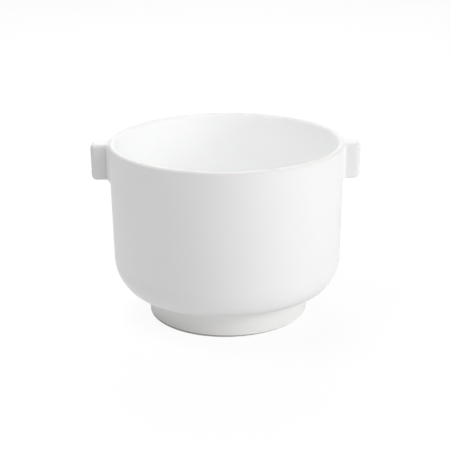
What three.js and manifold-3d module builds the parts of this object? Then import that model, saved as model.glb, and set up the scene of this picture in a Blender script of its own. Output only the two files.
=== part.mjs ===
// A glazed ceramic plant pot: a round bowl on a turned foot, with a small square lug on each side of
// the rim.
//
// The pot is put together from four clay pieces. The foot ring is stuck under the bowl's flat
// underside, and each lug is shaped to the bowl's wall and stuck to it just below the rim.
//
// Lengths are in millimetres, angles in degrees. +Z is up, the pot's axis is the Z axis, the pot
// stands on z = 0, and the lugs lie along X.

import * as THREE from 'three';
import { mergeVertices } from 'three/addons/utils/BufferGeometryUtils.js';
import Module from 'manifold-3d';

// Bowl
const rimRadius = 100;
const potHeight = 153.5;
const wallThickness = 5;
const wallBaseRadius = 98.3; // outside, where the tapered wall runs into the corner
const cornerRadius = 36.8;
const cornerTurn = 46; // how far the corner turns in before the heel takes over
const heelRadius = 9; // from the corner to the flat underside
const innerHeelRadius = 6; // from the inner corner to the flat floor
const floorThickness = 6;

// Foot ring
const footHeight = 24.7;
const footTopRadius = 71.5;
const footBaseRadius = 68.4;
const footTopThickness = 11;
const footBaseThickness = 8;
const footOuterEdgeRadius = 3;
const footInnerEdgeRadius = 2;

// Lugs
const lugReach = 15.8; // out from the wall
const lugWidth = 16; // along the wall
const lugHeight = 30.5;
const lugDrop = 2; // from the rim's top down to the lug's top
const lugEdgeRadius = 1.5; // the four edges that run out from the wall
const lugEndRadius = 3.5; // round the outer face
const lugRootFillet = 2.5; // where the sides and the underside meet the wall
const lugSeatClearance = 0.3; // between a lug and the bowl

// Facets
const turnSegments = 96;
const lipSteps = 8;
const cornerSteps = 8;
const heelSteps = 5;
const footEdgeSteps = 4;
const lugFilletSteps = 5;
const lugCornerSteps = 4;

const glazeMaterial = { color: 0xefefed, roughness: 0.35, metalness: 0 };

// Heights and places that follow from the sizes above
const lipRadius = wallThickness / 2;
const lipCentreHeight = potHeight - lipRadius;
const cornerCentreHeight = cornerCentre(wallBaseRadius, footHeight, cornerRadius, heelRadius).y;
const floorTop = footHeight + floorThickness;
const lugTop = potHeight - lugDrop;
const lugBottom = lugTop - lugHeight;

const wasm = await Module();
wasm.setup();

// Points on a circular arc, both ends included. Angles run anticlockwise from the first axis.
function arc(centre, radius, startAngle, endAngle, steps) {
  const points = [];
  for (let i = 0; i <= steps; i++) {
    const angle = THREE.MathUtils.degToRad(startAngle + ((endAngle - startAngle) * i) / steps);
    const offset = new THREE.Vector2(Math.cos(angle), Math.sin(angle)).multiplyScalar(radius);
    points.push(offset.add(centre));
  }
  return points;
}

// The centre of a corner that ends a wall of the given radius, where a heel leads on to a flat at
// the given height.
function cornerCentre(baseRadius, flatHeight, radius, heel) {
  const down = (radius - heel) * Math.sin(THREE.MathUtils.degToRad(cornerTurn));
  return new THREE.Vector2(baseRadius - radius, flatHeight + heel + down);
}

// The points of that corner and its heel, from the wall to the flat.
function corner(baseRadius, flatHeight, radius, heel) {
  const centre = cornerCentre(baseRadius, flatHeight, radius, heel);
  const across = (radius - heel) * Math.cos(THREE.MathUtils.degToRad(cornerTurn));
  const heelCentre = new THREE.Vector2(centre.x + across, flatHeight + heel);
  return [
    ...arc(centre, radius, 0, -cornerTurn, cornerSteps),
    ...arc(heelCentre, heel, -cornerTurn, -90, heelSteps).slice(1),
  ];
}

// Turns a profile of (radius, height) points round the pot's axis.
function turned(profile) {
  const geometry = new THREE.LatheGeometry(profile, turnSegments);
  geometry.rotateX(Math.PI / 2);
  return geometry;
}

// The bowl's outer radius on its straight, tapered wall.
function wallRadius(height) {
  const up = (height - cornerCentreHeight) / (lipCentreHeight - cornerCentreHeight);
  return THREE.MathUtils.lerp(wallBaseRadius, rimRadius, up);
}

// The bowl: a flat underside, a heel, a round corner and a tapered wall with a full round lip, and
// the same again inside.
function bowlGeometry() {
  const lipCentre = new THREE.Vector2(rimRadius - lipRadius, lipCentreHeight);
  const innerBaseRadius = wallBaseRadius - wallThickness;
  return turned([
    new THREE.Vector2(0, footHeight),
    ...corner(wallBaseRadius, footHeight, cornerRadius, heelRadius).reverse(),
    ...arc(lipCentre, lipRadius, 0, 180, lipSteps),
    ...corner(innerBaseRadius, floorTop, cornerRadius - wallThickness, innerHeelRadius),
    new THREE.Vector2(0, floorTop),
  ]);
}

// The foot ring: its flat top meets the bowl's underside, and it stands on a narrow flat between two
// round edges.
function footRingGeometry() {
  const outerEdgeCentre = new THREE.Vector2(footBaseRadius - footOuterEdgeRadius, footOuterEdgeRadius);
  const innerBaseRadius = footBaseRadius - footBaseThickness;
  const innerEdgeCentre = new THREE.Vector2(innerBaseRadius + footInnerEdgeRadius, footInnerEdgeRadius);
  const profile = [
    ...arc(outerEdgeCentre, footOuterEdgeRadius, -90, 0, footEdgeSteps),
    new THREE.Vector2(footTopRadius, footHeight),
    new THREE.Vector2(footTopRadius - footTopThickness, footHeight),
    ...arc(innerEdgeCentre, footInnerEdgeRadius, 180, 270, footEdgeSteps),
  ];
  profile.push(profile[0].clone());
  return turned(profile);
}

// One section of a lug, all of it at the same distance out from the bowl's wall. The section is the
// lug's upright rectangle with round corners, made larger all round by grow, except that its top
// never rises.
function lugSection(distance, grow) {
  const side = lugWidth / 2 + grow - lugEdgeRadius;
  const top = lugTop + Math.min(grow, 0) - lugEdgeRadius;
  const bottom = lugBottom - grow + lugEdgeRadius;
  const outline = [
    ...arc(new THREE.Vector2(side, top), lugEdgeRadius, 0, 90, lugCornerSteps),
    ...arc(new THREE.Vector2(-side, top), lugEdgeRadius, 90, 180, lugCornerSteps),
    ...arc(new THREE.Vector2(-side, bottom), lugEdgeRadius, 180, 270, lugCornerSteps),
    ...arc(new THREE.Vector2(side, bottom), lugEdgeRadius, 270, 360, lugCornerSteps),
  ];
  return outline.map(({ x: along, y: height }) => {
    const radius = wallRadius(height) + distance;
    return new THREE.Vector3(Math.sqrt(radius ** 2 - along ** 2), along, height);
  });
}

// Joins a row of sections with equally many points into one closed body, with a flat cap on each end.
function lofted(sections) {
  const count = sections[0].length;
  const last = (sections.length - 1) * count;
  const index = [];
  for (let start = 0; start < last; start += count) {
    for (let i = 0; i < count; i++) {
      const here = start + i;
      const next = start + ((i + 1) % count);
      index.push(here, next, next + count);
      index.push(here, next + count, here + count);
    }
  }
  for (let i = 1; i < count - 1; i++) {
    index.push(0, i + 1, i);
    index.push(last, last + i, last + i + 1);
  }
  const geometry = new THREE.BufferGeometry().setFromPoints(sections.flat());
  geometry.setIndex(index);
  return geometry;
}

// A closed geometry as a solid that can be cut.
function solid(geometry) {
  const bare = geometry.clone();
  bare.deleteAttribute('normal');
  bare.deleteAttribute('uv');
  const merged = mergeVertices(bare);
  const mesh = new wasm.Mesh({
    numProp: 3,
    vertProperties: new Float32Array(merged.attributes.position.array),
    triVerts: new Uint32Array(merged.index.array),
  });
  return new wasm.Manifold(mesh);
}

// A solid as a geometry.
function geometryOf(body) {
  const { vertProperties, triVerts } = body.getMesh();
  const geometry = new THREE.BufferGeometry();
  geometry.setAttribute('position', new THREE.BufferAttribute(new Float32Array(vertProperties), 3));
  geometry.setIndex(new THREE.BufferAttribute(new Uint32Array(triVerts), 1));
  geometry.computeVertexNormals();
  return geometry;
}

// The lug on the +X side. It starts inside the wall, flares down to it in a hollow fillet, runs
// straight out and ends in rounded edges. The bowl's wall, made larger by the clearance, then cuts
// its seat.
function lugGeometry() {
  const filletCentre = new THREE.Vector2(lugRootFillet, lugRootFillet);
  const endCentre = new THREE.Vector2(lugReach - lugEndRadius, -lugEndRadius);
  const steps = [
    new THREE.Vector2(-lipRadius, lugRootFillet),
    ...arc(filletCentre, lugRootFillet, 180, 270, lugFilletSteps),
    ...arc(endCentre, lugEndRadius, 90, 0, lugFilletSteps),
  ];
  const blank = lofted(steps.map(({ x: distance, y: grow }) => lugSection(distance, grow)));

  const cutTop = lugTop + lugRootFillet;
  const cutBottom = lugBottom - 2 * lugRootFillet;
  const wall = turned([
    new THREE.Vector2(0, cutBottom),
    new THREE.Vector2(wallRadius(cutBottom) + lugSeatClearance, cutBottom),
    new THREE.Vector2(wallRadius(cutTop) + lugSeatClearance, cutTop),
    new THREE.Vector2(0, cutTop),
  ]);
  return geometryOf(solid(blank).subtract(solid(wall)));
}

function piece(name, geometry) {
  const mesh = new THREE.Mesh(geometry, new THREE.MeshStandardMaterial(glazeMaterial));
  mesh.name = name;
  return mesh;
}

const pot = new THREE.Group();
pot.add(piece('bowl', bowlGeometry()));
pot.add(piece('foot_ring', footRingGeometry()));

const lugRight = piece('lug_right', lugGeometry());
const lugLeft = piece('lug_left', lugGeometry());
lugLeft.rotation.z = Math.PI;
pot.add(lugRight, lugLeft);

export default pot;
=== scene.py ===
# A white glazed ceramic plant pot on a pale studio floor. Lengths are in metres, +Z is up, the
# pot's axis is the Z axis, and the camera looks along +Y. An angle round the pot is 0 on the right
# and grows anticlockwise as seen from above, so the front is at -90 degrees.
import math
from collections import namedtuple

import bpy
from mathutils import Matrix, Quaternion, Vector, noise


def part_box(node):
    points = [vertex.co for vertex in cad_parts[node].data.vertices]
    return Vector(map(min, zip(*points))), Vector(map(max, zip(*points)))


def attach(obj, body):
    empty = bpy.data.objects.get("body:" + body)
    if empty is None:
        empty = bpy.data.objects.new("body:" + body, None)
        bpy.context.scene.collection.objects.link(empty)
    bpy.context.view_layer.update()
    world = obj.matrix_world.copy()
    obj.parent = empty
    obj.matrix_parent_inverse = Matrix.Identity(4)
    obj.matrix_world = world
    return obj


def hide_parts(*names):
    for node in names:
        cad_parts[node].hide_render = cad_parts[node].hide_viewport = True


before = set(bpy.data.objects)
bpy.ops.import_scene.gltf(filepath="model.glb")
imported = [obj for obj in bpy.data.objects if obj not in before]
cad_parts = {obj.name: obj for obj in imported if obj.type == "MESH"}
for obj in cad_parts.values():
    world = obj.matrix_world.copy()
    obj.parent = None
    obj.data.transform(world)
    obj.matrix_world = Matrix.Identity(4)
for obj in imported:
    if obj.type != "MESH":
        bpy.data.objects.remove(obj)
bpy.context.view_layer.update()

MM = 0.001
FRONT = -90  # degrees round the pot

# Sizes that the frame gives
bowl_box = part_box("bowl")
foot_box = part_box("foot_ring")
lug_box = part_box("lug_right")
RIM_RADIUS = bowl_box[1].x
POT_HEIGHT = bowl_box[1].z
FOOT_TOP_RADIUS = foot_box[1].x
FOOT_HEIGHT = foot_box[1].z
LUG_TOP = lug_box[1].z
LUG_REACH = lug_box[1].x - RIM_RADIUS

# The rest of the bowl
WALL = 5 * MM
WALL_BASE_RADIUS = 98.3 * MM
CORNER_RADIUS = 36.8 * MM
CORNER_RISE = 29 * MM  # from the flat underside up to where the wall starts
HEEL_RADIUS = 11.5 * MM  # from the corner to the flat underside, at the back
HEEL_RIGHT = 2.5 * MM  # how much rounder the heel is on the right, and tighter on the left
HEEL_FRONT = 8.5 * MM  # how much rounder it is at the front
HEEL_FRONT_POWER = 2  # the greater it is, the sooner that fades to the sides
INNER_CORNER_RISE = 24.6 * MM
INNER_HEEL_RADIUS = 6 * MM  # from the inner corner to the flat floor
FLOOR_THICKNESS = 6 * MM
LIP_SPLIT = 50  # degrees up the lip's outside, where the inner glaze takes over from the outer one
THIN_BELOW_SPLIT = 2.2 * MM  # how far down from there the outer glaze runs thin
# On the crest that tint is partly thinned glaze and partly painted shade, darkening the lip's top.
THIN_AND_SHADE_BELOW_CREST = 1.9 * MM  # how far down from the lip's crest the inner glaze is tinted

# The rest of the foot ring
FOOT_BASE_RADIUS = 68.2 * MM
FOOT_TOP_WALL = 11 * MM
FOOT_BASE_WALL = 8 * MM
FOOT_OUTER_EDGE = 2.6 * MM
FOOT_INNER_EDGE = 2 * MM
FOOT_HOLLOW_RADIUS = 68.9 * MM  # where the outer side starts to turn out
FOOT_HOLLOW_HEIGHT = 9.5 * MM
FOOT_HOLLOW_REACH = 7.5 * MM  # how far the hollow side runs out under the bowl
FOOT_OUT_ANGLE, FOOT_OUT = 10, 1.3 * MM  # where the side and base lie furthest out, and how far
FOOT_IN_ANGLE, FOOT_IN = -52, 1.1 * MM  # where the base lies furthest in, and how far
FOOT_POWER = 4  # the greater it is, the sooner both fade to the sides
FOOT_SINK = 0.4 * MM  # how far the foot's top lies in the bowl's underside
BARE_LOW, BARE_HIGH = 0.55 * MM, 2.5 * MM  # the bare clay's height where least and most is bare
BARE_SHADE_ANGLE = -155  # where most is bare; the rise there, on the shaded side, is painted shade
# Above the bare clay the foot glaze's tint is partly thinned glaze and partly painted shade along
# the contact line.
THIN_AND_SHADE_BELOW_BARE = 1.9 * MM  # how far below the bare clay's edge the tint would be darkest
THIN_AND_SHADE_FOOT = 3 * MM  # how far from there the tint still reaches

# The rest of the lugs
LUG_WIDTH = 16 * MM
LUG_HEIGHT = 30.5 * MM
LUG_EDGE = 1.6 * MM  # the two lower edges that run out from the wall
LUG_TOP_FILLET = 1 * MM
LUG_BEVEL = 0.8  # how much of the root is a flat bevel instead of a hollow round
LUG_CREASE_SHADE = 0.25  # painted shade in the crease where that bevel starts
LUG_SINK = 1.5 * MM  # how far the root lies in the wall
LUG_FACE_SHARES = (0.8, 0.6, 0.4, 0.2)  # rings on the outer face, as shares of its outline
LUG_FACE_MIDDLE = 0.75  # the tint in the face's middle, as a share of that at its edge
LUG_UNEVEN, LUG_UNEVEN_SIZE = 0.2 * MM, 9 * MM  # how deep and how long the lugs' unevenness is
LUG_UNEVEN_WIDTH, LUG_UNEVEN_WIDTH_SIZE = 0.02, 11 * MM  # the same for their width, as a share

# The two lugs were shaped by hand. Each has its own shortness against the CAD's lug, reach of the
# root from the wall, growth of the root on the sides and below, round of the outer end, how much
# rounder that end is below, round of the two upper edges, and tint on the end. That tint is
# thinned glaze and painted shade, and on the left lug, on the shaded side, it is mostly shade.
Lug = namedtuple("Lug", "shorter fillet flare under end low_end top_edge thin_end")
LEFT_LUG = Lug(
    shorter=0,
    fillet=2.9 * MM,
    flare=4.6 * MM,
    under=3 * MM,
    end=3.4 * MM,
    low_end=1.1,
    top_edge=3.4 * MM,
    thin_end=0.85,
)
RIGHT_LUG = Lug(
    shorter=1.6 * MM,
    fillet=2 * MM,
    flare=2.2 * MM,
    under=0.6 * MM,
    end=4.4 * MM,
    low_end=1.4,
    top_edge=1.8 * MM,
    thin_end=0.25,
)

# Mesh density
TURN_SEGMENTS = 240
CORNER_STEPS = 28
HEEL_STEPS = 16
UNDERSIDE_STEPS = 8
OUTER_WALL_STEPS = 30
OUTER_LIP_STEPS = 8
INNER_LIP_STEPS = 16
INNER_WALL_STEPS = 26
FLOOR_STEPS = 12
FOOT_BARE_STEPS = 8
FOOT_GLAZED_STEPS = 6
FOOT_SIDE_STEPS = 10
FOOT_HOLLOW_STEPS = 24
FOOT_INSIDE_STEPS = 8
LUG_STEPS = 8

# Heights and radii that follow
LIP_RADIUS = WALL / 2
LIP_HEIGHT = POT_HEIGHT - LIP_RADIUS
WALL_BASE_HEIGHT = FOOT_HEIGHT + CORNER_RISE
FLOOR_TOP = FOOT_HEIGHT + FLOOR_THICKNESS
LUG_BOTTOM = LUG_TOP - LUG_HEIGHT

# The glazes' colours: plain, in the faint clouds, and the tint for thinned glaze and painted shade
GLAZES = {
    "outer_glaze": ((0.742, 0.742, 0.742), (0.732, 0.733, 0.737), (0.728, 0.716, 0.702)),
    # The inner glaze is a much lighter copy of the outer one: painted light inside the bowl.
    "lit_inner_glaze": ((0.946, 0.95, 0.947), (0.939, 0.944, 0.941), (0.735, 0.733, 0.726)),
    # The foot glaze is a lighter copy of the outer one: painted light from the floor onto the foot.
    "lit_foot_glaze": ((0.795, 0.792, 0.78), (0.785, 0.782, 0.769), (0.66, 0.63, 0.59)),
    # The lug glaze's dark tint is partly thinned glaze on the edges and partly painted shade in the
    # root's crease, along the lower edge and on the left lug's end.
    "lug_glaze": ((0.742, 0.742, 0.742), (0.732, 0.733, 0.737), (0.57, 0.557, 0.54)),
}
GLAZE_SPECULAR = 0.15
GLAZE_ROUGHNESS = 0.6
GLAZE_ROUGHNESS_SWING = 0.03
GLAZE_PEEL = 0.02 * MM  # the depth of its orange peel

# The bare clay's colours: plain, in its clouds and in its specks
CLAY = (0.40, 0.375, 0.345)
CLAY_CLOUD = (0.48, 0.45, 0.42)
CLAY_SPECK = (0.20, 0.17, 0.14)
CLAY_ROUGHNESS = 0.85
CLAY_GRAIN = 0.06 * MM  # the depth of its grain

# Noises, each with its scale per metre and its detail
GLAZE_CLOUDS = (22, 3)
GLAZE_GLOSS = (60, 2)
GLAZE_PEEL_NOISE = (420, 2)
CLAY_CLOUDS = (120, 4)
CLAY_SPECKS = (1500, 1)
CLAY_SPECK_LOW = -3  # below 0 there is no speck, so that specks are few
CLAY_GRAIN_NOISE = (2200, 2)
NOISE_LOW, NOISE_HIGH = 0.3, 0.7  # nearly all of a noise lies between these

# Places of the colour sockets in a mix node
MIX_FROM, MIX_TO, MIX_RESULT = 6, 7, 2

# The studio floor
STUDIO_FLOOR_REACH = 8.0
STUDIO_FLOOR_COLOUR = (0.92, 0.92, 0.92, 1)
STUDIO_FLOOR_ROUGHNESS = 0.9
STUDIO_FLOOR_GLOW = 0.92  # how much of what the camera and reflections see is plain white
WHITE = (1, 1, 1, 1)

# The lamps, each with its azimuth, its elevation and its power. Azimuth 0 is the camera's side, 90
# is the right and 180 is behind the pot.
LAMPS = {
    "key": (30, 30, 13.6),
    "low_right": (66, 12, 19.4),
    "front_left": (-45, 20, 2.4),
    "low_left": (-90, 20, 4.5),
    "high_left": (-90, 70, 22.9),
    "back": (180, 45, 23.2),
}
LAMP_DISTANCE = 2.0
LAMP_SIZE = 1.0

# The camera. It looks down by the pitch, turns right by the yaw and rolls anticlockwise by the
# roll, in degrees. Its sensor and lens are in millimetres.
CAMERA_DISTANCE = 1.0
CAMERA_HEIGHT = 0.4179
CAMERA_PITCH = 18.83
CAMERA_YAW = -0.10
CAMERA_ROLL = -0.49
CAMERA_SENSOR = 36.0
CAMERA_LENS = 97.04


def arc(centre, radius, start, end, steps):
    """Points (across, up) on an arc, both ends included. Angles are in degrees, anticlockwise."""
    points = []
    for i in range(steps + 1):
        angle = math.radians(start + (end - start) * i / steps)
        across = centre[0] + radius * math.cos(angle)
        points.append((across, centre[1] + radius * math.sin(angle)))
    return points


def line(start, end, steps):
    """Points between two points, with neither end included."""
    return [tuple(a + (b - a) * i / steps for a, b in zip(start, end)) for i in range(1, steps)]


def bezier(start, control, end, steps):
    """Points on a quadratic curve, both ends included."""
    points = []
    for i in range(steps + 1):
        t = i / steps
        weights = ((1 - t) ** 2, 2 * t * (1 - t), t * t)
        parts = [[w * value for value in p] for w, p in zip(weights, (start, control, end))]
        points.append(tuple(sum(values) for values in zip(*parts)))
    return points


def lobe(angle, centre, power):
    """1 at the centre, in degrees, falling smoothly to 0 a quarter turn from it."""
    return max(math.cos(angle - math.radians(centre)), 0) ** power


def bump_share(value, centre, width):
    """1 at centre, falling smoothly to 0 at width on each side of it."""
    away = min(abs(value - centre) / width, 1)
    return 0.5 + 0.5 * math.cos(math.pi * away)


def uneven(point, size, depth):
    """How far a surface made by hand lies inside its true shape at a point."""
    return depth * (0.5 + 0.5 * noise.noise(Vector(point) / size))


def wall_radius(height):
    """The bowl's outer radius on its tapered wall and its lip."""
    if height > LIP_HEIGHT:
        up = min(height - LIP_HEIGHT, LIP_RADIUS)
        return RIM_RADIUS - LIP_RADIUS + math.sqrt(LIP_RADIUS**2 - up**2)
    share = (height - WALL_BASE_HEIGHT) / (LIP_HEIGHT - WALL_BASE_HEIGHT)
    return WALL_BASE_RADIUS + share * (RIM_RADIUS - WALL_BASE_RADIUS)


def corner(base_radius, flat_height, radius, rise, heel):
    """The corner where a wall turns in, and the heel from there to a flat at the given height."""
    turn_in = math.asin((rise - heel) / (radius - heel))
    centre = (base_radius - radius, flat_height + rise)
    heel_centre = (centre[0] + (radius - heel) * math.cos(turn_in), flat_height + heel)
    heel_start = -math.degrees(turn_in)
    wide = arc(centre, radius, 0, heel_start, CORNER_STEPS)
    return wide + arc(heel_centre, heel, heel_start, -90, HEEL_STEPS)[1:]


def heel_radius(angle):
    """The radius of the bowl's outer heel at an angle round the pot."""
    front = HEEL_FRONT * lobe(angle, FRONT, HEEL_FRONT_POWER)
    return HEEL_RADIUS + HEEL_RIGHT * math.cos(angle) + front


def heel_height(radius, angle):
    """The height of the bowl's outside at a radius on its heel or its flat underside."""
    heel = heel_radius(angle)
    across = math.sqrt((CORNER_RADIUS - heel) ** 2 - (CORNER_RISE - heel) ** 2)
    flat = WALL_BASE_RADIUS - CORNER_RADIUS + across
    return FOOT_HEIGHT + heel - math.sqrt(heel**2 - max(radius - flat, 0) ** 2)


def bare_and_shade_height(angle):
    """The foot's bare clay height at an angle round the pot, raised on the shaded side as painted
    shade.
    """
    share = 0.5 + 0.5 * math.cos(angle - math.radians(BARE_SHADE_ANGLE))
    return BARE_LOW + (BARE_HIGH - BARE_LOW) * share**2 * (3 - 2 * share)


def make_piece(name, vertices, faces, materials, face_materials, thin_and_shade):
    """A smooth mesh object, with each vertex's share, from 0 to 1, of the tint for thinned glaze
    and painted shade.
    """
    mesh = bpy.data.meshes.new(name)
    mesh.from_pydata(vertices, [], faces)
    for material in materials:
        mesh.materials.append(material)
    mesh.polygons.foreach_set("material_index", face_materials)
    attribute = mesh.attributes.new("thin_glaze_and_shade", "FLOAT", "POINT")
    attribute.data.foreach_set("value", thin_and_shade)
    mesh.shade_smooth()
    mesh.validate()
    piece = bpy.data.objects.new(name, mesh)
    bpy.context.scene.collection.objects.link(piece)
    return piece


def make_turned(name, profile_at, materials, picks, thin_and_shade_at):
    """Turns a closed profile round the axis. A point of it at radius 0 is one vertex.

    profile_at gives the profile's (radius, height) points at an angle, and the last argument gives
    the share of the tint for thinned glaze and painted shade at a radius, height and angle. picks
    gives the material's index for the faces from each point to the next."""
    angles = [2 * math.pi * i / TURN_SEGMENTS for i in range(TURN_SEGMENTS)]
    vertices = []
    thin_and_shade = []
    rings = []
    for points in zip(*(profile_at(angle) for angle in angles)):
        if points[0][0] <= 0:
            rings.append([len(vertices)] * TURN_SEGMENTS)
            vertices.append((0, 0, points[0][1]))
            thin_and_shade.append(0)
            continue
        rings.append(list(range(len(vertices), len(vertices) + TURN_SEGMENTS)))
        for angle, (radius, height) in zip(angles, points):
            vertices.append((radius * math.cos(angle), radius * math.sin(angle), height))
            thin_and_shade.append(thin_and_shade_at(radius, height, angle))
    faces = []
    face_materials = []
    # A profile that starts on the axis ends there too, and any other one closes on its start
    starts_on_axis = rings[0][0] == rings[0][1]
    for k in range(len(rings) - starts_on_axis):
        low, high = rings[k], rings[(k + 1) % len(rings)]
        for i in range(TURN_SEGMENTS):
            j = (i + 1) % TURN_SEGMENTS
            faces.append(list(dict.fromkeys((low[i], low[j], high[j], high[i]))))
            face_materials.append(picks[k])
    return make_piece(name, vertices, faces, materials, face_materials, thin_and_shade)


def make_bowl(outer_glaze, lit_inner_glaze):
    """The bowl. The inner glaze runs over the lip's crest and meets the outer one just below it."""
    lip_centre = (RIM_RADIUS - LIP_RADIUS, LIP_HEIGHT)
    outer_lip = arc(lip_centre, LIP_RADIUS, 0, LIP_SPLIT, OUTER_LIP_STEPS)
    inner_lip = arc(lip_centre, LIP_RADIUS, LIP_SPLIT, 180, INNER_LIP_STEPS)
    split_height = inner_lip[0][1]
    inner_corner = corner(
        WALL_BASE_RADIUS - WALL,
        FLOOR_TOP,
        CORNER_RADIUS - WALL,
        INNER_CORNER_RISE,
        INNER_HEEL_RADIUS,
    )
    inside = [
        *inner_lip,
        *line(inner_lip[-1], inner_corner[0], INNER_WALL_STEPS),
        *inner_corner,
        *line(inner_corner[-1], (0, FLOOR_TOP), FLOOR_STEPS),
        (0, FLOOR_TOP),
    ]

    def outside_at(angle):
        heel = heel_radius(angle)
        outer_corner = corner(WALL_BASE_RADIUS, FOOT_HEIGHT, CORNER_RADIUS, CORNER_RISE, heel)
        outer_corner.reverse()
        return [
            (0, FOOT_HEIGHT),
            *line((0, FOOT_HEIGHT), outer_corner[0], UNDERSIDE_STEPS),
            *outer_corner,
            *line(outer_corner[-1], outer_lip[0], OUTER_WALL_STEPS),
            *outer_lip[:-1],
        ]

    def profile_at(angle):
        return outside_at(angle) + inside

    def thin_and_shade_at(radius, height, angle):
        if radius > lip_centre[0]:
            return bump_share(min(height, split_height), split_height, THIN_BELOW_SPLIT)
        # On the crest the inner glaze's tint is partly thinned glaze and partly painted shade.
        return bump_share(height, POT_HEIGHT, THIN_AND_SHADE_BELOW_CREST)

    picks = [0] * len(outside_at(0)) + [1] * len(inside)
    return make_turned("bowl_glazed", profile_at, (outer_glaze, lit_inner_glaze), picks, thin_and_shade_at)


def make_foot(lit_foot_glaze, clay):
    """The foot ring. Its outer side runs out under the bowl, and its lowest part is bare clay."""
    edge_across = FOOT_BASE_RADIUS - FOOT_BASE_WALL + FOOT_INNER_EDGE
    inner_edge = arc((edge_across, FOOT_INNER_EDGE), FOOT_INNER_EDGE, 180, 270, FOOT_INSIDE_STEPS)
    inner_top = (FOOT_TOP_RADIUS - FOOT_TOP_WALL, FOOT_HEIGHT + FOOT_SINK)
    inside = [inner_top, *line(inner_top, inner_edge[0], FOOT_INSIDE_STEPS), *inner_edge]
    hollow_end = FOOT_TOP_RADIUS + FOOT_HOLLOW_REACH

    def profile_at(angle):
        side_out = FOOT_OUT * lobe(angle, FOOT_OUT_ANGLE, FOOT_POWER)
        base_out = side_out - FOOT_IN * lobe(angle, FOOT_IN_ANGLE, FOOT_POWER)
        edge_centre = (FOOT_BASE_RADIUS - FOOT_OUTER_EDGE + base_out, FOOT_OUTER_EDGE)
        # The bare band is real clay; its rise on the shaded side is painted shade.
        bare_end = math.degrees(math.asin(bare_and_shade_height(angle) / FOOT_OUTER_EDGE - 1))
        bare = arc(edge_centre, FOOT_OUTER_EDGE, -90, bare_end, FOOT_BARE_STEPS)
        glazed = arc(edge_centre, FOOT_OUTER_EDGE, bare_end, 0, FOOT_GLAZED_STEPS)
        top = heel_height(hollow_end, angle)
        hollow = bezier(
            (FOOT_HOLLOW_RADIUS + side_out, FOOT_HOLLOW_HEIGHT),
            (FOOT_TOP_RADIUS + side_out, FOOT_HEIGHT),
            (hollow_end, top),
            FOOT_HOLLOW_STEPS,
        )
        side = line(glazed[-1], hollow[0], FOOT_SIDE_STEPS)
        return bare + glazed[1:] + side + hollow + [(hollow_end, top + FOOT_SINK)] + inside

    def thin_and_shade_at(radius, height, angle):
        # Thinned glaze and painted shade just above the bare clay
        return bump_share(height, bare_and_shade_height(angle) - THIN_AND_SHADE_BELOW_BARE, THIN_AND_SHADE_FOOT)

    glazed_count = len(profile_at(0)) - FOOT_BARE_STEPS - len(inner_edge)
    picks = [1] * FOOT_BARE_STEPS + [0] * glazed_count + [1] * len(inner_edge)
    return make_turned("foot_ring_glazed", profile_at, (lit_foot_glaze, clay), picks, thin_and_shade_at)


def lug_outline(grow, top_grow, bottom_grow, top_edge):
    """The outline of a lug's section as (along, height) points. grow is for its two sides."""
    side = LUG_WIDTH / 2 + grow
    top = LUG_TOP + top_grow - top_edge
    bottom = LUG_BOTTOM - bottom_grow + LUG_EDGE
    corners = [
        arc((side - top_edge, top), top_edge, 0, 90, LUG_STEPS),
        arc((top_edge - side, top), top_edge, 90, 180, LUG_STEPS),
        arc((LUG_EDGE - side, bottom), LUG_EDGE, 180, 270, LUG_STEPS),
        arc((side - LUG_EDGE, bottom), LUG_EDGE, 270, 360, LUG_STEPS),
    ]
    outline = []
    for here, after in zip(corners, corners[1:] + corners[:1]):
        outline += here + line(here[-1], after[0], LUG_STEPS)
    return outline


def lug_stages(lug):
    """A lug's stages from inside the wall to its outer end.

    Each gives how far out it lies, how much it grows on the sides, at the top and at the bottom,
    its tint for thinned glaze and painted shade, and 1 where the lower edge is shaded too, else 0."""
    stages = [(-LUG_SINK, lug.flare, LUG_TOP_FILLET, lug.under, 0, 0)]
    for i in range(LUG_STEPS + 1):
        angle = math.radians(90 * i / LUG_STEPS)
        bevel = LUG_BEVEL * i / LUG_STEPS
        out = lug.fillet * (bevel + (1 - LUG_BEVEL) * (1 - math.cos(angle)))
        grow = LUG_BEVEL - bevel + (1 - LUG_BEVEL) * (1 - math.sin(angle))
        crease = int(i == LUG_STEPS)
        growths = (grow * lug.flare, grow * LUG_TOP_FILLET, grow * lug.under)
        # Shade is painted in the crease where the bevel ends, and from there on along the lower
        # edge.
        stages.append((out, *growths, crease * LUG_CREASE_SHADE, crease))
    straight = LUG_REACH - lug.shorter - lug.end
    for i in range(1, LUG_STEPS):
        out = lug.fillet + (straight - lug.fillet) * i / LUG_STEPS
        stages.append((out, 0, 0, 0, 0, 1))
    for i in range(LUG_STEPS + 1):
        angle = math.radians(90 * i / LUG_STEPS)
        out = straight + lug.end * math.sin(angle)
        grow = lug.end * (math.cos(angle) - 1)
        # Round the end the tint grows, as thinned glaze and, mostly on the left lug, painted shade.
        stages.append((out, grow, grow, grow * lug.low_end, lug.thin_end * math.sin(angle), 1))
    return stages


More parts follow.
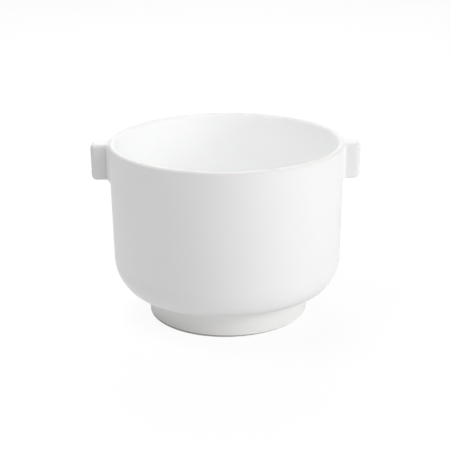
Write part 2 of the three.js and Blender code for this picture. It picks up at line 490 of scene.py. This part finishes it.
def lug_rings(lug):
    """A lug's rings, from its root to its outer face, of (out, (along, height), tint share) points,
    where the tint is for thinned glaze and painted shade.
    """
    rings = []
    for out, grow, top_grow, bottom_grow, thin_and_shade, below in lug_stages(lug):
        ring = []
        for point in lug_outline(grow, top_grow, bottom_grow, lug.top_edge):
            # Painted shade along the lug's lower edge
            lower_edge_shade = bump_share(point[1], LUG_BOTTOM, LUG_EDGE)
            ring.append((out, point, max(thin_and_shade, below * lower_edge_shade)))
        rings.append(ring)
    middle = (0, (LUG_TOP + LUG_BOTTOM) / 2)
    face = rings[-1]
    for share in LUG_FACE_SHARES:
        thin_and_shade = lug.thin_end * (LUG_FACE_MIDDLE + (1 - LUG_FACE_MIDDLE) * share**4)
        ring = []
        for _, point, _ in face:
            inner = tuple(m + share * (p - m) for p, m in zip(point, middle))
            ring.append((LUG_REACH - lug.shorter, inner, thin_and_shade))
        rings.append(ring)
    return rings


def make_lug(name, side, lug, glaze):
    """A lug handle on the side +1 or -1 of the X axis, with its root in the wall."""
    rings = lug_rings(lug)
    vertices = []
    thin_and_shade = []
    for ring in rings:
        for out, (along, height), ring_thin_and_shade in ring:
            radius = wall_radius(height) + out
            radius -= uneven((side * radius, along, height), LUG_UNEVEN_SIZE, LUG_UNEVEN)
            place = (height, side * radius, along)
            along *= 1 - uneven(place, LUG_UNEVEN_WIDTH_SIZE, LUG_UNEVEN_WIDTH)
            vertices.append((side * math.sqrt(radius**2 - along**2), side * along, height))
            thin_and_shade.append(ring_thin_and_shade)
    count = len(rings[0])
    last = (len(rings) - 1) * count
    faces = []
    for start in range(0, last, count):
        for i in range(count):
            here, after = start + i, start + (i + 1) % count
            faces.append((here, after, after + count, here + count))
    faces.append(tuple(range(last, last + count)))
    faces.append(tuple(range(count - 1, -1, -1)))
    return make_piece(name, vertices, faces, (glaze,), [0] * len(faces), thin_and_shade)


def new_material(name):
    """A material with nodes, its node list and links, and its principled shader."""
    material = bpy.data.materials.new(name)
    material.use_nodes = True
    tree = material.node_tree
    return material, tree.nodes, tree.links, tree.nodes["Principled BSDF"]


def add_noise(nodes, links, place, kind, low, high):
    """A noise of a kind, its scale and detail, spread over the range from low to high."""
    texture = nodes.new("ShaderNodeTexNoise")
    texture.inputs["Scale"].default_value, texture.inputs["Detail"].default_value = kind
    links.new(place.outputs["Object"], texture.inputs["Vector"])
    spread = nodes.new("ShaderNodeMapRange")
    spread.inputs["From Min"].default_value = NOISE_LOW
    spread.inputs["From Max"].default_value = NOISE_HIGH
    spread.inputs["To Min"].default_value = low
    spread.inputs["To Max"].default_value = high
    links.new(texture.outputs["Fac"], spread.inputs["Value"])
    return spread.outputs["Result"]


def add_tint(nodes, links, share, colour, tint):
    """Mixes from colour, a socket or three numbers, to tint by share."""
    mix = nodes.new("ShaderNodeMix")
    mix.data_type = "RGBA"
    links.new(share, mix.inputs["Factor"])
    if isinstance(colour, tuple):
        mix.inputs[MIX_FROM].default_value = (*colour, 1)
    else:
        links.new(colour, mix.inputs[MIX_FROM])
    mix.inputs[MIX_TO].default_value = (*tint, 1)
    return mix.outputs[MIX_RESULT]


def add_bump(nodes, links, height, distance, shader):
    """Bumps the shader's surface by a height from 0 to 1."""
    bump = nodes.new("ShaderNodeBump")
    bump.inputs["Distance"].default_value = distance
    links.new(height, bump.inputs["Height"])
    links.new(bump.outputs["Normal"], shader.inputs["Normal"])


def make_glaze(name, colour, cloud_tint, thin_and_shade_tint):
    """A satin glaze: faint clouds in colour and gloss, a tint for thinned glaze and painted shade,
    an orange peel.
    """
    material, nodes, links, shader = new_material(name)
    shader.inputs["Specular IOR Level"].default_value = GLAZE_SPECULAR
    place = nodes.new("ShaderNodeTexCoord")
    clouds = add_noise(nodes, links, place, GLAZE_CLOUDS, 0, 1)
    base = add_tint(nodes, links, clouds, colour, cloud_tint)
    thin_and_shade = nodes.new("ShaderNodeAttribute")
    thin_and_shade.attribute_name = "thin_glaze_and_shade"
    base = add_tint(nodes, links, thin_and_shade.outputs["Fac"], base, thin_and_shade_tint)
    links.new(base, shader.inputs["Base Color"])
    smoothest = GLAZE_ROUGHNESS - GLAZE_ROUGHNESS_SWING
    roughest = GLAZE_ROUGHNESS + GLAZE_ROUGHNESS_SWING
    gloss = add_noise(nodes, links, place, GLAZE_GLOSS, smoothest, roughest)
    links.new(gloss, shader.inputs["Roughness"])
    peel = add_noise(nodes, links, place, GLAZE_PEEL_NOISE, 0, 1)
    add_bump(nodes, links, peel, GLAZE_PEEL, shader)
    return material


def make_clay(name):
    """Bare fired stoneware: warm, rough and finely speckled."""
    material, nodes, links, shader = new_material(name)
    place = nodes.new("ShaderNodeTexCoord")
    clouds = add_noise(nodes, links, place, CLAY_CLOUDS, 0, 1)
    base = add_tint(nodes, links, clouds, CLAY, CLAY_CLOUD)
    specks = add_noise(nodes, links, place, CLAY_SPECKS, CLAY_SPECK_LOW, 1)
    base = add_tint(nodes, links, specks, base, CLAY_SPECK)
    links.new(base, shader.inputs["Base Color"])
    shader.inputs["Roughness"].default_value = CLAY_ROUGHNESS
    grain = add_noise(nodes, links, place, CLAY_GRAIN_NOISE, 0, 1)
    add_bump(nodes, links, grain, CLAY_GRAIN, shader)
    return material


def seen_ray(nodes, links):
    """1 for a ray from the camera and for one that a reflection or glass sends on, else 0."""
    path = nodes.new("ShaderNodeLightPath")
    total = path.outputs["Is Camera Ray"]
    for name in ("Is Glossy Ray", "Is Transmission Ray"):
        largest = nodes.new("ShaderNodeMath")
        largest.operation = "MAXIMUM"
        links.new(total, largest.inputs[0])
        links.new(path.outputs[name], largest.inputs[1])
        total = largest.outputs[0]
    return total


def make_studio_floor():
    """A wide white floor that keeps a soft trace of the pot's shadow."""
    mesh = bpy.data.meshes.new("studio_floor")
    signs = ((-1, -1), (1, -1), (1, 1), (-1, 1))
    corners = [(x * STUDIO_FLOOR_REACH, y * STUDIO_FLOOR_REACH, 0) for x, y in signs]
    mesh.from_pydata(corners, [], [(0, 1, 2, 3)])
    floor = bpy.data.objects.new("studio_floor", mesh)
    bpy.context.scene.collection.objects.link(floor)
    material, nodes, links, shader = new_material("studio_floor")
    shader.inputs["Base Color"].default_value = STUDIO_FLOOR_COLOUR
    shader.inputs["Roughness"].default_value = STUDIO_FLOOR_ROUGHNESS
    white = nodes.new("ShaderNodeEmission")
    white.inputs["Color"].default_value = WHITE
    white.inputs["Strength"].default_value = 1
    share = nodes.new("ShaderNodeMath")
    share.operation = "MULTIPLY"
    share.inputs[1].default_value = STUDIO_FLOOR_GLOW
    links.new(seen_ray(nodes, links), share.inputs[0])
    mix = nodes.new("ShaderNodeMixShader")
    links.new(share.outputs[0], mix.inputs[0])
    links.new(shader.outputs[0], mix.inputs[1])
    links.new(white.outputs[0], mix.inputs[2])
    links.new(mix.outputs[0], nodes["Material Output"].inputs["Surface"])
    mesh.materials.append(material)


def make_world():
    """A world that the camera and reflections see as plain white. It gives no other light."""
    world = bpy.data.worlds.new("studio")
    bpy.context.scene.world = world
    world.use_nodes = True
    nodes, links = world.node_tree.nodes, world.node_tree.links
    dark = nodes["Background"]
    dark.inputs["Strength"].default_value = 0
    white = nodes.new("ShaderNodeBackground")
    white.inputs["Color"].default_value = WHITE
    white.inputs["Strength"].default_value = 1
    mix = nodes.new("ShaderNodeMixShader")
    links.new(seen_ray(nodes, links), mix.inputs[0])
    links.new(dark.outputs[0], mix.inputs[1])
    links.new(white.outputs[0], mix.inputs[2])
    links.new(mix.outputs[0], nodes["World Output"].inputs["Surface"])


def direction(turned_right, raised):
    """The unit vector along +Y after a turn to the right and a rise, both in degrees."""
    turn, rise = math.radians(turned_right), math.radians(raised)
    level = math.cos(rise)
    return Vector((math.sin(turn) * level, math.cos(turn) * level, math.sin(rise)))


def make_lamp(name, azimuth, elevation, power):
    """A soft square lamp aimed at the pot's middle."""
    light = bpy.data.lights.new(name, "AREA")
    light.shape = "SQUARE"
    light.size = LAMP_SIZE
    light.energy = power
    lamp = bpy.data.objects.new(name, light)
    bpy.context.scene.collection.objects.link(lamp)
    back = direction(180 - azimuth, elevation)
    lamp.location = Vector((0, 0, POT_HEIGHT / 2)) + back * LAMP_DISTANCE
    lamp.rotation_mode = "QUATERNION"
    lamp.rotation_quaternion = (-back).to_track_quat("-Z", "Y")


def make_camera():
    """The photograph's view."""
    data = bpy.data.cameras.new("camera")
    data.sensor_width = CAMERA_SENSOR
    data.lens = CAMERA_LENS
    camera = bpy.data.objects.new("camera", data)
    bpy.context.scene.collection.objects.link(camera)
    camera.location = (0, -CAMERA_DISTANCE, CAMERA_HEIGHT)
    look = direction(CAMERA_YAW, -CAMERA_PITCH)
    roll = Quaternion((0, 0, 1), math.radians(CAMERA_ROLL))
    camera.rotation_mode = "QUATERNION"
    camera.rotation_quaternion = look.to_track_quat("-Z", "Y") @ roll
    bpy.context.scene.camera = camera


glazes = {name: make_glaze(name, *colours) for name, colours in GLAZES.items()}
bare_clay = make_clay("bare_clay")

pieces = {
    "bowl": make_bowl(glazes["outer_glaze"], glazes["lit_inner_glaze"]),
    "foot_ring": make_foot(glazes["lit_foot_glaze"], bare_clay),
    "lug_left": make_lug("lug_left_glazed", -1, LEFT_LUG, glazes["lug_glaze"]),
    "lug_right": make_lug("lug_right_glazed", 1, RIGHT_LUG, glazes["lug_glaze"]),
}
for node, piece in pieces.items():
    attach(piece, "root")
    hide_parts(node)

make_studio_floor()
make_world()
for name, (azimuth, elevation, power) in LAMPS.items():
    make_lamp(name, azimuth, elevation, power)
make_camera()
bpy.context.scene.view_settings.view_transform = "Standard"
